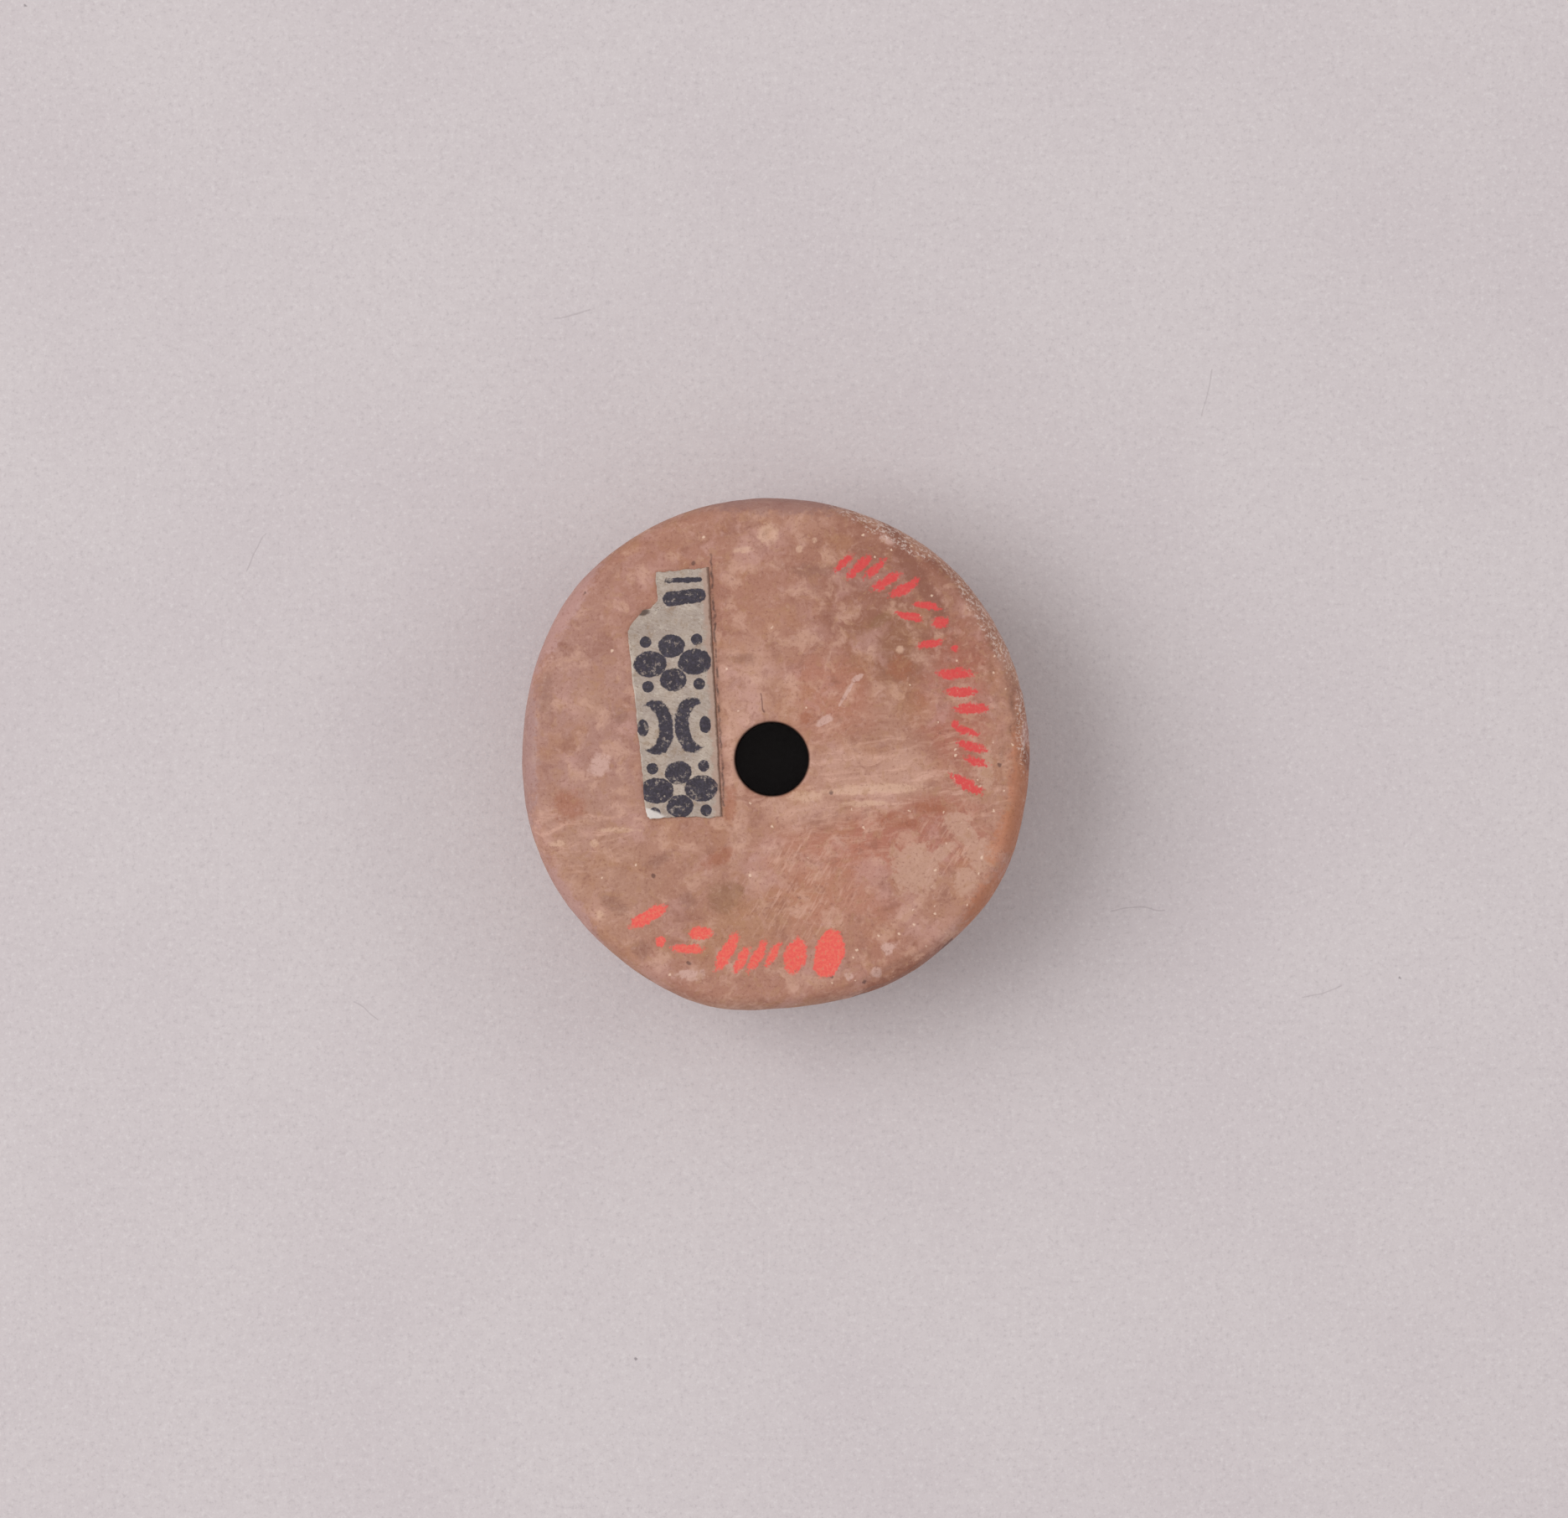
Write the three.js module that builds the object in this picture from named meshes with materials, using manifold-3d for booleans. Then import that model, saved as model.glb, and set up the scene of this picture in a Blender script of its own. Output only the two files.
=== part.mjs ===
// An ivory spindle whorl: a disc with a flat face on top, a domed underside with a small
// flat foot, and a straight hole for the spindle. A torn strip of old paper is stuck to
// the flat face beside the hole. Millimetres, +Z up. The origin is on the hole's axis,
// at the height of the foot.

import * as THREE from "three";
import { mergeVertices } from "three/addons/utils/BufferGeometryUtils.js";
import Module from "manifold-3d";

// The ivory body
const RIM_DIAMETER = 30.5;
const HEIGHT = 12;
const FOOT_DIAMETER = 13;
const DOME_FULLNESS = 0.5;
const FOOT_ROLL = 0.5;
const RIM_ROUND_WIDTH = 1;
const RIM_ROUND_DROP = 1.8;
const HOLE_DIAMETER = 4.3;
const HOLE_LIP = 0.25;

// The rim's centre, seen from the hole's axis
const RIM_CENTRE_X = 0.15;
const RIM_CENTRE_Y = 0.26;

// Flats that the carver left round the rim: where, how far they reach, how deep
const SHAVED_FLATS = [
  { angle: 2, halfWidth: 46, depth: 0.35 },
  { angle: 74, halfWidth: 85, depth: 0.28 },
  { angle: 179, halfWidth: 50, depth: 0.49 },
  { angle: 226, halfWidth: 36, depth: 0.28 },
  { angle: 279, halfWidth: 29, depth: 0.45 },
  { angle: 310, halfWidth: 25, depth: 0.22 },
];

// The worn bevel along the face's edge
const BEVEL_ANGLE = 296;
const BEVEL_WIDTH = 1.1;
const BEVEL_TILT = 38;

// Chips out of the rim
const CHIPS = [
  { angle: 24, size: 0.62 },
  { angle: 14, size: 0.5 },
  { angle: 5, size: 0.56 },
  { angle: -3, size: 0.44 },
];
const CHIP_STRETCH = 1.5;
const CHIP_BITE = 0.35;

// The paper strip, torn at its upper left corner
const STRIP_LENGTH = 14.6;
const STRIP_WIDTH = 4.9;
const STRIP_FOOT_WIDTH = 4.4;
const STRIP_THICKNESS = 0.12;
const STRIP_LEAN = 3.1;
const TEAR_WIDTH = 1.8;
const TEAR_LENGTH = 2.6;
const TEAR_SLOPE = 0.85;
const STRIP_HOLE_GAP = 0.95;
const STRIP_DROP = 3.4;

// Facets
const ROUND_SEGMENTS = 96;
const DOME_STEPS = 12;
const RIM_STEPS = 5;
const LIP_STEPS = 3;
const MERGE_DISTANCE = 1e-4;

const IVORY_COLOUR = 0xa9826f;
const PAPER_COLOUR = 0xb3a696;

const rimRadius = RIM_DIAMETER / 2;
const holeRadius = HOLE_DIAMETER / 2;
const footRadius = FOOT_DIAMETER / 2;
const up = new THREE.Vector3(0, 0, 1);

const wasm = await Module();
wasm.setup();

// Depth of the shaved flats at an angle round the rim, in degrees
function shavedDepth(angle) {
  let depth = 0;
  for (const flat of SHAVED_FLATS) {
    const away = Math.abs(THREE.MathUtils.euclideanModulo(angle - flat.angle + 180, 360) - 180);
    if (away < flat.halfWidth) {
      depth += (flat.depth * (1 + Math.cos((Math.PI * away) / flat.halfWidth))) / 2;
    }
  }
  return depth;
}

// A direction in the plane of the face, from its angle in degrees
function direction(angle) {
  const turn = THREE.MathUtils.degToRad(angle);
  return new THREE.Vector3(Math.cos(turn), Math.sin(turn), 0);
}

// A point of the widest outline, moved inwards by a distance
function rimPoint(angle, inset, height) {
  return direction(angle)
    .multiplyScalar(rimRadius - shavedDepth(angle) - inset)
    .add(new THREE.Vector3(RIM_CENTRE_X, RIM_CENTRE_Y, height));
}

// The closed section of the body: foot, dome, rounded rim, face, lip, hole, lip
function bodySection() {
  const widest = HEIGHT - RIM_ROUND_DROP;
  const reach = rimRadius - footRadius;
  const mouth = holeRadius + HOLE_LIP;
  const dome = new THREE.CubicBezierCurve(
    new THREE.Vector2(footRadius, 0),
    new THREE.Vector2(footRadius + reach * DOME_FULLNESS, FOOT_ROLL),
    new THREE.Vector2(rimRadius, widest * (1 - DOME_FULLNESS)),
    new THREE.Vector2(rimRadius, widest),
  );
  const rim = new THREE.EllipseCurve(
    rimRadius - RIM_ROUND_WIDTH, widest, RIM_ROUND_WIDTH, RIM_ROUND_DROP, 0, Math.PI / 2,
  );
  const upperLip = new THREE.EllipseCurve(
    mouth, HEIGHT - HOLE_LIP, HOLE_LIP, HOLE_LIP, Math.PI / 2, Math.PI,
  );
  const lowerLip = new THREE.EllipseCurve(
    mouth, HOLE_LIP, HOLE_LIP, HOLE_LIP, Math.PI, (3 * Math.PI) / 2,
  );
  const points = [
    ...dome.getPoints(DOME_STEPS),
    ...rim.getPoints(RIM_STEPS).slice(1),
    ...upperLip.getPoints(LIP_STEPS),
    ...lowerLip.getPoints(LIP_STEPS),
  ];
  points.push(points[0].clone());
  return points;
}

// Moves a turned body's points so that the rim is shaved and off centre while the hole stays round
function carve(geometry) {
  const position = geometry.getAttribute("position");
  const point = new THREE.Vector3();
  for (let i = 0; i < position.count; i += 1) {
    point.fromBufferAttribute(position, i);
    const radius = Math.hypot(point.x, point.y);
    const share = THREE.MathUtils.clamp((radius - holeRadius) / (rimRadius - holeRadius), 0, 1);
    const angle = THREE.MathUtils.radToDeg(Math.atan2(point.y, point.x));
    const scale = (radius - share * shavedDepth(angle)) / radius;
    point.set(
      point.x * scale + share * RIM_CENTRE_X,
      point.y * scale + share * RIM_CENTRE_Y,
      point.z,
    );
    position.setXYZ(i, point.x, point.y, point.z);
  }
  return geometry;
}

// A closed geometry as a solid that can be cut
function solidFrom(geometry) {
  const bare = geometry.clone();
  bare.deleteAttribute("normal");
  bare.deleteAttribute("uv");
  const merged = mergeVertices(bare, MERGE_DISTANCE);
  return new wasm.Manifold(new wasm.Mesh({
    numProp: 3,
    vertProperties: new Float32Array(merged.getAttribute("position").array),
    triVerts: new Uint32Array(merged.getIndex().array),
  }));
}

function geometryFrom(solid) {
  const mesh = solid.getMesh();
  const geometry = new THREE.BufferGeometry();
  geometry.setAttribute("position", new THREE.BufferAttribute(mesh.vertProperties, mesh.numProp));
  geometry.setIndex(new THREE.BufferAttribute(mesh.triVerts, 1));
  geometry.computeVertexNormals();
  return geometry;
}

// A block whose lower side is the worn bevel's plane
function bevelCutter() {
  const block = new THREE.BoxGeometry(RIM_DIAMETER, RIM_DIAMETER, RIM_DIAMETER);
  block.translate(0, 0, RIM_DIAMETER / 2);
  const tilt = THREE.MathUtils.degToRad(BEVEL_TILT);
  const normal = direction(BEVEL_ANGLE).multiplyScalar(Math.sin(tilt)).addScaledVector(up, Math.cos(tilt));
  block.applyQuaternion(new THREE.Quaternion().setFromUnitVectors(up, normal));
  const edge = rimPoint(BEVEL_ANGLE, BEVEL_WIDTH, HEIGHT);
  block.translate(edge.x, edge.y, edge.z);
  return block;
}

// A rounded pebble that bites a chip out of the rim, longest along the rim
function chipCutter(chip) {
  const pebble = new THREE.IcosahedronGeometry(chip.size, 1);
  pebble.scale(1, CHIP_STRETCH, 1);
  pebble.rotateZ(THREE.MathUtils.degToRad(chip.angle));
  const centre = rimPoint(chip.angle, -chip.size * CHIP_BITE, HEIGHT - RIM_ROUND_DROP / 2);
  pebble.translate(centre.x, centre.y, centre.z);
  return pebble;
}

// The ivory body, one piece
function makeWhorl() {
  const turned = new THREE.LatheGeometry(bodySection(), ROUND_SEGMENTS);
  turned.rotateX(Math.PI / 2);
  let body = solidFrom(carve(turned));
  body = body.subtract(solidFrom(bevelCutter()));
  for (const chip of CHIPS) {
    body = body.subtract(solidFrom(chipCutter(chip)));
  }
  const ivory = new THREE.MeshStandardMaterial({ color: IVORY_COLOUR, roughness: 0.45, metalness: 0 });
  const whorl = new THREE.Mesh(geometryFrom(body), ivory);
  whorl.name = "whorl";
  return whorl;
}

// The paper strip, flat on the face. Its lower right corner is its own origin.
function makePaperStrip() {
  const outline = new THREE.Shape([
    new THREE.Vector2(0, 0),
    new THREE.Vector2(0, STRIP_LENGTH),
    new THREE.Vector2(TEAR_WIDTH - STRIP_WIDTH, STRIP_LENGTH),
    new THREE.Vector2(TEAR_WIDTH - STRIP_WIDTH, STRIP_LENGTH - TEAR_LENGTH + TEAR_SLOPE),
    new THREE.Vector2(-STRIP_WIDTH, STRIP_LENGTH - TEAR_LENGTH - TEAR_SLOPE),
    new THREE.Vector2(-STRIP_FOOT_WIDTH, 0),
  ]);
  const sheet = new THREE.ExtrudeGeometry(outline, { depth: STRIP_THICKNESS, bevelEnabled: false });
  const paper = new THREE.MeshStandardMaterial({ color: PAPER_COLOUR, roughness: 0.85, metalness: 0 });
  const strip = new THREE.Mesh(sheet, paper);
  const lean = THREE.MathUtils.degToRad(STRIP_LEAN);
  strip.rotation.z = lean;
  strip.position.set(
    STRIP_DROP * Math.tan(lean) - holeRadius - STRIP_HOLE_GAP,
    -STRIP_DROP,
    HEIGHT,
  );
  strip.name = "paper_strip";
  return strip;
}

const spindleWhorl = new THREE.Group();
spindleWhorl.name = "spindle_whorl";
spindleWhorl.add(makeWhorl(), makePaperStrip());

export default spindleWhorl;
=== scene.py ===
"""An ivory spindle whorl: a carved disc with a flat face, a domed underside and a spindle hole,
with a torn strip of old printed paper stuck to the face beside the hole.

Sizes in the property groups are in metres. The shape and finish functions work in
millimetres, with the same axes and origin as the frame: the spindle hole's axis, +Z up."""

import math
from functools import partialmethod

import bpy
import numpy as np
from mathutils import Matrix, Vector, noise


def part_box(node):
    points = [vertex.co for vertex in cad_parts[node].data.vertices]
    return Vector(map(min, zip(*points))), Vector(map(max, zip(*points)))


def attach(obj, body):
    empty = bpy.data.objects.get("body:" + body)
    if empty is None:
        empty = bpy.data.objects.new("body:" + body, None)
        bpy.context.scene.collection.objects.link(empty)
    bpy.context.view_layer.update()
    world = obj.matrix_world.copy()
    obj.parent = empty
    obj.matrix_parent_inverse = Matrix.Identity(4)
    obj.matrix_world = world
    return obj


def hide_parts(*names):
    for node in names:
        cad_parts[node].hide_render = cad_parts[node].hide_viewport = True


bl_info = {
    "name": "Ivory Spindle Whorl",
    "version": (1, 0, 0),
    "blender": (4, 5, 0),
    "location": "3D View > Sidebar > Whorl",
    "description": "Makes a carved ivory spindle whorl with a paper strip on its face",
    "category": "Add Mesh",
}

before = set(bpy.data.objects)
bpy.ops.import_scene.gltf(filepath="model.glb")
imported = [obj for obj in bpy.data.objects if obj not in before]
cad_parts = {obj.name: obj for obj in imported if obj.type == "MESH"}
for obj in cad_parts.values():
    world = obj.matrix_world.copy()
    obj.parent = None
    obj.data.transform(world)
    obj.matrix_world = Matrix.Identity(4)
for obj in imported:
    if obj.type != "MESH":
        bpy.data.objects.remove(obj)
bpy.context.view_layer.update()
whorl_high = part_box("whorl")[1]

MM = 0.001
MM_IN_METRE = 1000
FLATTEN = 1e6  # squeezes a coordinate to nothing

# Stains and brush strokes take the nearest of these proportions, and turn in steps of these degrees
STAIN_RATIOS = (1, 2.5, 8)
STAIN_TURN = 30
BRUSH_RATIOS = (1, 1.7, 3.2)
BRUSH_TURN = 15

# Refraction of the materials
IVORY_IOR = 1.5
PAPER_IOR = 1.45
FLOOR_IOR = 1.5

# Steps of the meshes: round the body, and across and along the strip
AROUND = 400
STRIP_ACROSS = 60
STRIP_ALONG = 170

# How high the strip lies on its glue, and how far its lower left corner lifts
GLUE_THICKNESS = 0.02
CORNER_LIFT = 0.2

# The rim's centre, seen from the hole's axis
RIM_CENTRE = (0.15, 0.26)

# Flats that the carver left round the rim: angle, reach to each side, depth
SHAVED_FLATS = (
    (2, 46, 0.35), (74, 85, 0.28), (179, 50, 0.49), (226, 36, 0.28), (279, 29, 0.45),
    (310, 25, 0.22),
)

# Chips out of the rim: angle, radius across the rim and along it, how far out its centre lies
CHIPS = (
    (33, 0.35, 0.8, 0.27), (24, 0.5, 1.1, 0.38), (14, 0.42, 0.9, 0.3), (9, 0.3, 0.5, 0.2),
    (5, 0.5, 0.95, 0.36), (-3, 0.42, 0.8, 0.3), (-41, 0.4, 0.8, 0.2), (-57, 0.35, 0.9, 0.15),
    (-68, 0.42, 1.1, 0.2), (94, 0.3, 0.7, 0.18), (141, 0.3, 0.8, 0.2), (203, 0.3, 0.8, 0.22),
)

# Pits in the face: x, y, radius, depth
PITS = (
    (-0.17, 13.16, 0.3, 0.12), (-1.64, 12.18, 0.22, 0.06), (4.6, 4.2, 0.2, 0.05),
    (8.9, -0.6, 0.2, 0.06), (-7.62, 8.6, 0.25, 0.06), (-3.4, -5.4, 0.35, 0.05),
    (-2.5, -7.9, 0.45, 0.05), (13.3, 3.4, 0.3, 0.1), (13.6, 0.2, 0.28, 0.12),
    (12.2, -3.4, 0.3, 0.06), (9.4, -9.6, 0.28, 0.07),
)

# Wear of the face and rim, in millimetres and degrees
FACE_WAVE = 0.035
FACE_ROUNDING = 0.05
FACE_RADIUS = 14
BEVEL_SLOPE = 38
CHIP_DEPTH = 1.3
CHIP_DROP = 0.75
CRUMBLED_ANGLES = (12, 20)  # centre and width

# Pits scattered over the face between two radii
RANDOM_SEED = 11
PIT_COUNT = 70
PITTED_RADII = (3.2, 13.6)
PIT_SIZES = (0.14, 0.3)
PIT_DEPTH = 0.16


def sized(name, description, default, unit="LENGTH"):
    """A length or angle that a user can set."""
    subtype = "DISTANCE" if unit == "LENGTH" else "ANGLE"
    return bpy.props.FloatProperty(
        name=name, description=description, default=default, unit=unit, subtype=subtype, precision=5
    )


def coloured(name, description, red, green, blue):
    """A colour that a user can set, given as it shows on a screen, 0 to 255."""
    return bpy.props.FloatVectorProperty(
        name=name, description=description, subtype="COLOR_GAMMA", size=3, min=0, max=1,
        default=(red / 255, green / 255, blue / 255),
    )


class WhorlBodySettings(bpy.types.PropertyGroup):
    """Sizes of the ivory body."""

    rim_diameter: sized("Rim diameter", "Across the rim before its flats were shaved", 30.5 * MM)
    height: sized("Height", "From the foot to the flat face", whorl_high[2])
    foot_diameter: sized("Foot diameter", "Across the small flat foot", 13 * MM)
    rim_round_width: sized("Rim round width", "Reach of the rounded edge over the face", 1 * MM)
    rim_round_drop: sized("Rim round drop", "Reach of the rounded edge down the side", 1.8 * MM)
    hole_diameter: sized("Hole diameter", "Across the spindle hole", 4.3 * MM)
    hole_lip: sized("Hole lip", "Rounding of the hole's two edges", 0.25 * MM)
    bevel_width: sized("Bevel width", "Width of the worn bevel on the face", 1.1 * MM)
    bevel_angle: sized(
        "Bevel angle", "Where the worn bevel lies round the rim", math.radians(296), "ROTATION"
    )


class WhorlFinishSettings(bpy.types.PropertyGroup):
    """Colours of the ivory and of the marks painted on it."""

    ivory: coloured("Ivory", "Main tone of the aged ivory", 175, 127, 106)
    ivory_dark: coloured("Dark ivory", "Darker blotches", 165, 115, 94)
    ivory_pale: coloured("Pale ivory", "Worn streaks", 212, 166, 146)
    coral_paint: coloured("Coral paint", "Brush marks along the lower edge", 232, 84, 76)
    red_paint: coloured("Red paint", "Thinner brush marks along the right edge", 212, 62, 62)


class PaperStripSettings(bpy.types.PropertyGroup):
    """Sizes and colours of the paper strip."""

    length: sized("Length", "Of the strip", 14.6 * MM)
    width: sized("Width", "Across the strip where it is widest", 4.9 * MM)
    foot_width: sized("Foot width", "Across the strip's lower end", 4.4 * MM)
    thickness: sized("Thickness", "Of the paper", 0.1 * MM)
    lean: sized("Lean", "Turn of the strip on the face", math.radians(3.1), "ROTATION")
    tear_width: sized("Tear width", "Missing from the upper left corner, across", 1.8 * MM)
    tear_length: sized("Tear length", "Missing from the upper left corner, along", 2.6 * MM)
    corner_x: sized("Corner place, X", "The strip's lower right corner", -2.92 * MM)
    corner_y: sized("Corner place, Y", "The strip's lower right corner", -3.4 * MM)
    paper: coloured("Paper", "Aged paper", 172, 157, 146)
    ink: coloured("Ink", "Printed marks", 32, 27, 42)


class StudioSettings(bpy.types.PropertyGroup):
    """The view and the lights."""

    view_width: sized("View width", "Width seen at the height of the face", 91.6 * MM)
    view_x: sized("View centre, X", "From the hole's axis", 0.71 * MM)
    view_y: sized("View centre, Y", "From the hole's axis", 0)
    distance: sized("Camera distance", "Above the face", 450 * MM)
    floor: coloured("Floor", "Pale surface under the whorl", 210, 202, 203)


def linear(colour):
    """A screen colour from 0 to 1 as the linear colour that a shader takes, with alpha."""
    parts = [c / 12.92 if c <= 0.04045 else ((c + 0.055) / 1.055) ** 2.4 for c in colour]
    return (*parts, 1)


def tone(red, green, blue):
    """A screen colour from 0 to 255 as the linear colour that a shader takes."""
    return linear((red / 255, green / 255, blue / 255))


class Finish:
    """One material and the nodes that make it. Places are in millimetres."""

    def __init__(self, name):
        self.material = bpy.data.materials.new(name)
        self.material.use_nodes = True
        self.tree = self.material.node_tree
        self.tree.nodes.clear()
        self.shader = self.add("ShaderNodeBsdfPrincipled")
        output = self.add("ShaderNodeOutputMaterial")
        self.tree.links.new(self.shader.outputs["BSDF"], output.inputs["Surface"])
        coordinates = self.add("ShaderNodeTexCoord").outputs["Object"]
        self.places = self.vector("MULTIPLY", coordinates, (MM_IN_METRE,) * 3)
        self.spaces = {}
        self.colour = None

    def add(self, kind, inputs=(), **settings):
        """Adds a node with its settings, and values or links for its inputs."""
        node = self.tree.nodes.new(kind)
        for key, value in settings.items():
            setattr(node, key, value)
        for key, value in dict(inputs).items():
            self.put(node.inputs[key], value)
        return node

    def put(self, socket, value):
        """Links a socket to another one, or sets its value."""
        if isinstance(value, bpy.types.NodeSocket):
            self.tree.links.new(value, socket)
        else:
            socket.default_value = value

    def math(self, operation, first, second):
        node = self.add("ShaderNodeMath", {0: first, 1: second}, operation=operation)
        return node.outputs[0]

    plus = partialmethod(math, "ADD")
    minus = partialmethod(math, "SUBTRACT")
    times = partialmethod(math, "MULTIPLY")

    def vector(self, operation, first, second=(0, 0, 0)):
        node = self.add("ShaderNodeVectorMath", {0: first, 1: second}, operation=operation)
        return node.outputs["Value" if operation in ("LENGTH", "DISTANCE") else "Vector"]

    def spread(self, value, start, end, low=0, high=1):
        """Smooth step of a value from start to end."""
        inputs = {"Value": value, "From Min": start, "From Max": end, "To Min": low, "To Max": high}
        node = self.add("ShaderNodeMapRange", inputs, interpolation_type="SMOOTHSTEP")
        return node.outputs["Result"]

    def cloud(self, places, scale, detail=3, roughness=0.55):
        """Noise from 0 to 1. Scale is in waves for each millimetre."""
        inputs = {"Vector": places, "Scale": scale, "Detail": detail, "Roughness": roughness}
        return self.add("ShaderNodeTexNoise", inputs).outputs["Fac"]

    def warped(self, places, scale, amount):
        """Places pushed about by noise."""
        node = self.add("ShaderNodeTexNoise", {"Vector": places, "Scale": scale, "Detail": 2})
        centred = self.vector("SUBTRACT", node.outputs["Color"], (0.5, 0.5, 0.5))
        return self.vector("ADD", places, self.vector("MULTIPLY", centred, (amount,) * 3))

    def local(self, places, x, y, degrees, scale=(1, 1, FLATTEN)):
        """Places seen from a point on the face, turned and scaled, with Z dropped."""
        inputs = {
            "Vector": places, "Location": (x, y, 0),
            "Rotation": (0, 0, math.radians(degrees)), "Scale": scale,
        }
        node = self.add("ShaderNodeMapping", inputs, vector_type="TEXTURE")
        return node.outputs["Vector"]

    def under(self, level, height, drops, low=0, high=1):
        """Smooth step of a level between two drops under the face's height."""
        return self.spread(level, height - drops[0], height - drops[1], low, high)

    def height(self, places):
        """The height of a place."""
        return self.add("ShaderNodeSeparateXYZ", {0: places}).outputs["Z"]

    def reach(self, places, x, y, width, height, degrees, ratios, step):
        """Distance from an ellipse's centre, 1 on its edge. Turns and proportions are rounded,
        so that ellipses share the turned and squeezed places that make them round."""
        if width < height:
            width, height, degrees = height, width, degrees + 90
        ratio = min(ratios, key=lambda r: abs(math.log(r * height / width)))
        degrees = round(degrees / step) * step % 180 if ratio > 1 else 0
        key = (places.node.name, degrees, ratio)
        if key not in self.spaces:
            self.spaces[key] = self.local(places, 0, 0, degrees, (ratio, 1, FLATTEN))
        turn = math.radians(degrees)
        across = (x * math.cos(turn) + y * math.sin(turn)) / ratio
        along = y * math.cos(turn) - x * math.sin(turn)
        distance = self.vector("DISTANCE", self.spaces[key], (across, along, 0))
        return self.math("DIVIDE", distance, math.sqrt(width * height / ratio) / 2)

    def patches(self, places, ragged, soft, strength, ellipses):
        """A strength inside soft ellipses, 0 outside them. Noise makes their edges ragged."""
        reaches = [self.reach(places, *ellipse, STAIN_RATIOS, STAIN_TURN) for ellipse in ellipses]
        reach = self.plus(self.nearest(reaches), ragged)
        return self.spread(reach, 1 + soft / 2, 1 - soft / 2, 0, strength)

    def stroke(self, places, x, y, degrees, half_length, half_width):
        """Distance from a round-ended stroke, below 0 inside it."""
        along = self.vector("ABSOLUTE", self.local(places, x, y, degrees))
        beyond = self.vector("MAXIMUM", self.vector("SUBTRACT", along, (half_length, 0, 0)))
        return self.minus(self.vector("LENGTH", beyond), half_width)

    def nearest(self, distances):
        """The least of several distances."""
        while len(distances) > 1:
            pairs = zip(distances[::2], distances[1::2])
            odd = distances[-1:] if len(distances) % 2 else []
            distances = [self.math("MINIMUM", *pair) for pair in pairs] + odd
        return distances[0]

    def flat(self, places):
        """Places with their height dropped."""
        return self.vector("MULTIPLY", places, (1, 1, 0))

    def mix(self, factor, under, over):
        """A colour under another one that covers it by a factor."""
        inputs = {0: factor, 6: under, 7: over}
        return self.add("ShaderNodeMix", inputs, data_type="RGBA").outputs[2]

    def centred(self, value, amount):
        """A value from 0 to 1 as one that lies round 0 and is an amount wide."""
        return self.times(self.minus(value, 0.5), amount)

    def lay(self, factor, over):
        """Lays a colour over the finish's own."""
        self.colour = self.mix(factor, self.colour, over)

    def tint(self, value, start, end, strength, paint):
        """Lays a tone on that grows as a value goes from start to end."""
        self.lay(self.spread(value, start, end, 0, strength), tone(*paint))

    def stain(self, ragged, stains, fade=1):
        """Lays soft patches of tone on, most of them stains. Noise makes their edges ragged."""
        for paint, soft, strength, ellipses in stains:
            mask = self.patches(self.places, ragged, soft, strength, ellipses)
            self.lay(self.times(mask, fade), tone(*paint))

    def mottle(self, places, blotches):
        """Lays cloudy blotches on."""
        for scale, shift, start, end, strength, paint in blotches:
            cloud = self.cloud(self.vector("ADD", places, (shift,) * 3), scale, *BLOTCH_DETAIL)
            self.tint(cloud, start, end, strength, paint)

    def finished(self, relief, depth, strength, roughness, refraction):
        """The material, with its colour, roughness and relief in place."""
        shader = self.shader.inputs
        self.put(shader["Base Color"], self.colour)
        self.put(shader["Roughness"], roughness)
        self.put(shader["Normal"], self.bump(relief, depth, strength))
        shader["IOR"].default_value = refraction
        return self.material

    def bump(self, height, distance, strength):
        """Bump from a height from 0 to 1. Distance is in millimetres."""
        inputs = {"Height": height, "Distance": distance * MM, "Strength": strength}
        return self.add("ShaderNodeBump", inputs).outputs["Normal"]


# Patches of tone, most of them stains: colour, softness, strength, and their ellipses as x, y,
# width, height and turn
FACE_TONES = (
    ((172, 130, 120), 1.2, 0.6, ((-11, 1.5, 10, 17, 0),)),
    ((182, 138, 110), 1.1, 0.42, (
        (-10.8, -6.6, 8, 8, 0), (-8.8, -5.6, 3.6, 1.6, 12), (-10.8, 3.4, 2, 2, 0),
    )),
    ((168, 114, 94), 1.2, 0.6, (
        (-1.5, 9.8, 16, 8.5, 5), (0.5, -13.4, 18, 3.4, 0), (0.2, -11.4, 13, 2.8, 0),
    )),
    # Darker patches over the upper right of the face
    ((144, 90, 70), 1.2, 0.85, ((7.8, 9, 13, 8.4, -30),)),
    ((144, 96, 68), 1, 0.75, ((6.8, 6.5, 4.6, 4.4, 0),)),
    ((170, 120, 84), 1, 0.5, ((-0.5, -9, 7, 4, 20),)),
    ((168, 98, 78), 1, 0.7, (
        (10.8, 2.6, 5, 8, 0), (7.8, -4.6, 9, 3.6, -8), (9.8, -3, 4.4, 2.6, 0),
    )),
    ((184, 118, 94), 1.2, 0.5, ((3.4, -7, 9, 6, 30), (3.5, 3.6, 5, 4.6, 0))),
    ((202, 158, 138), 0.9, 0.56, (
        (-1.5, 3.6, 3.6, 6.2, 12), (-2.1, -1, 1.6, 7.6, 3), (5.6, -0.8, 9.4, 3.8, 8),
        (2.4, -3, 4.4, 2.2, -10),
    )),
)
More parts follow.
